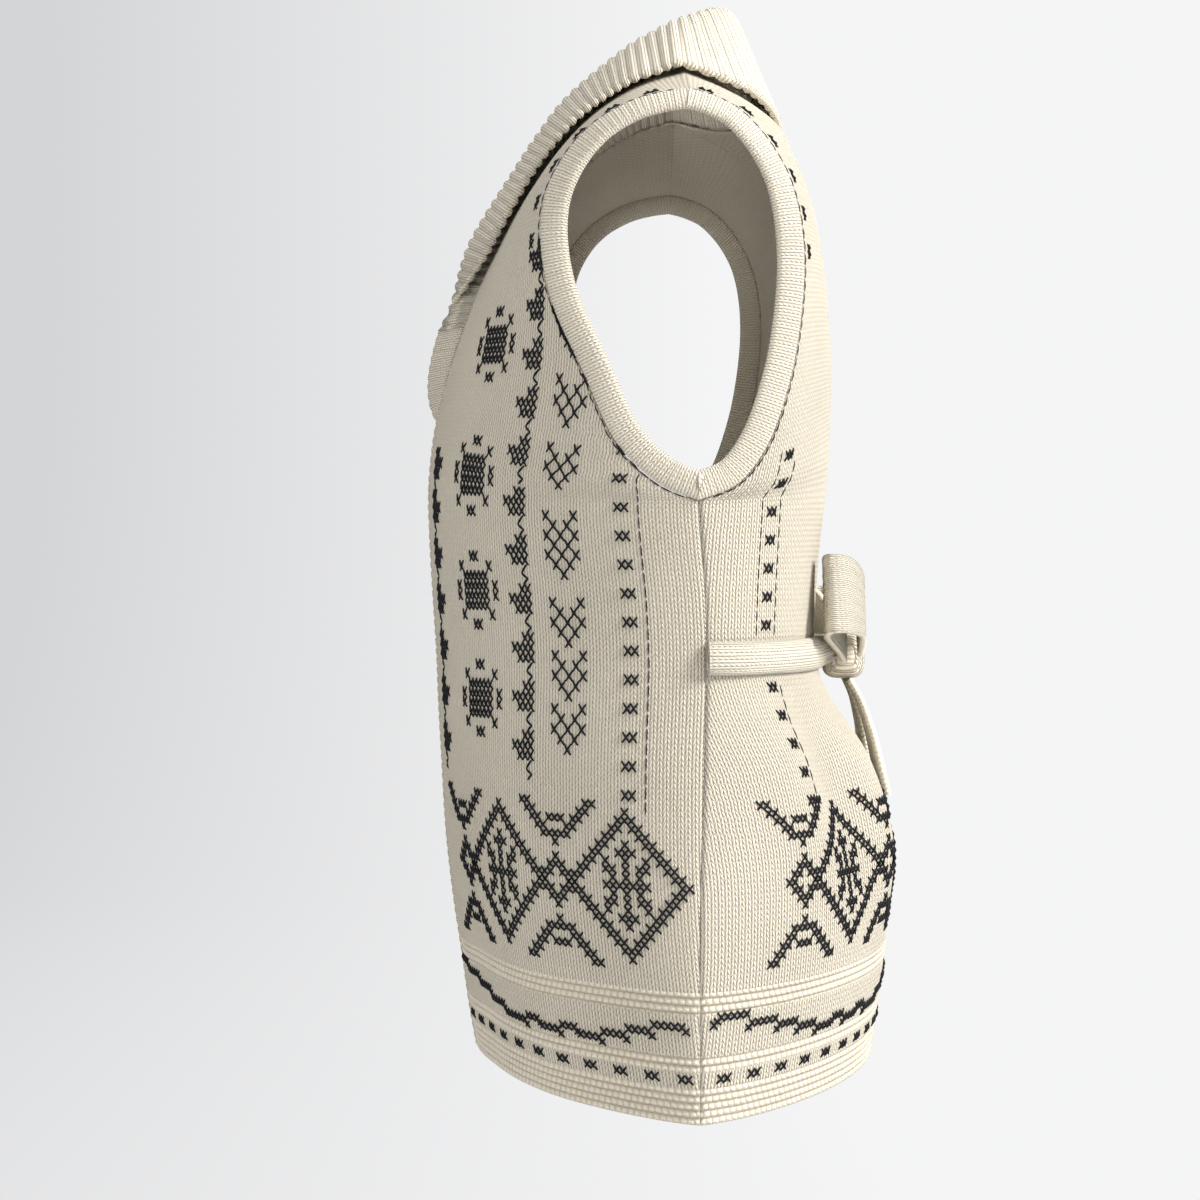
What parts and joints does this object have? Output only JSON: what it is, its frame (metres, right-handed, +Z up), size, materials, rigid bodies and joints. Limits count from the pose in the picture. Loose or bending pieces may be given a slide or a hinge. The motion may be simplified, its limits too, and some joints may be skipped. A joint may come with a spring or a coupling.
{
  "type": "sleeveless shawl-collar sweater vest",
  "caption": "Open-front sleeveless knitted vest in worn form, with a ribbed shawl collar, banded armholes, cross-stitched motifs and a tie belt bowed at the back waist.",
  "frame": {"origin": "midway between the two high shoulder points, where the wearer's shoulders and neck hold the vest", "axes": "+X the wearer's left, -Y the wearer's front, +Z up"},
  "size_m": [0.414, 0.3187, 0.7221],
  "materials": {
    "stocking_knit": "cream heavy stocking stitch with black cross-stitch, matt, lightly fuzzy",
    "rib_knit": "cream ribbed and garter knit, matt, soft nap"
  },
  "bodies": {
    "root": {"back_panel": "stocking_knit", "front_left": "stocking_knit", "front_right": "stocking_knit", "armhole_band_left": "rib_knit", "armhole_band_right": "rib_knit", "front_band_left": "rib_knit", "front_band_right": "rib_knit", "shawl_collar": "rib_knit", "belt_left": "rib_knit", "belt_right": "rib_knit", "belt_knot": "rib_knit", "bow_loop_left": "rib_knit", "bow_loop_right": "rib_knit", "belt_tail_left": "rib_knit", "belt_tail_right": "rib_knit"}
  },
  "joints": []
}
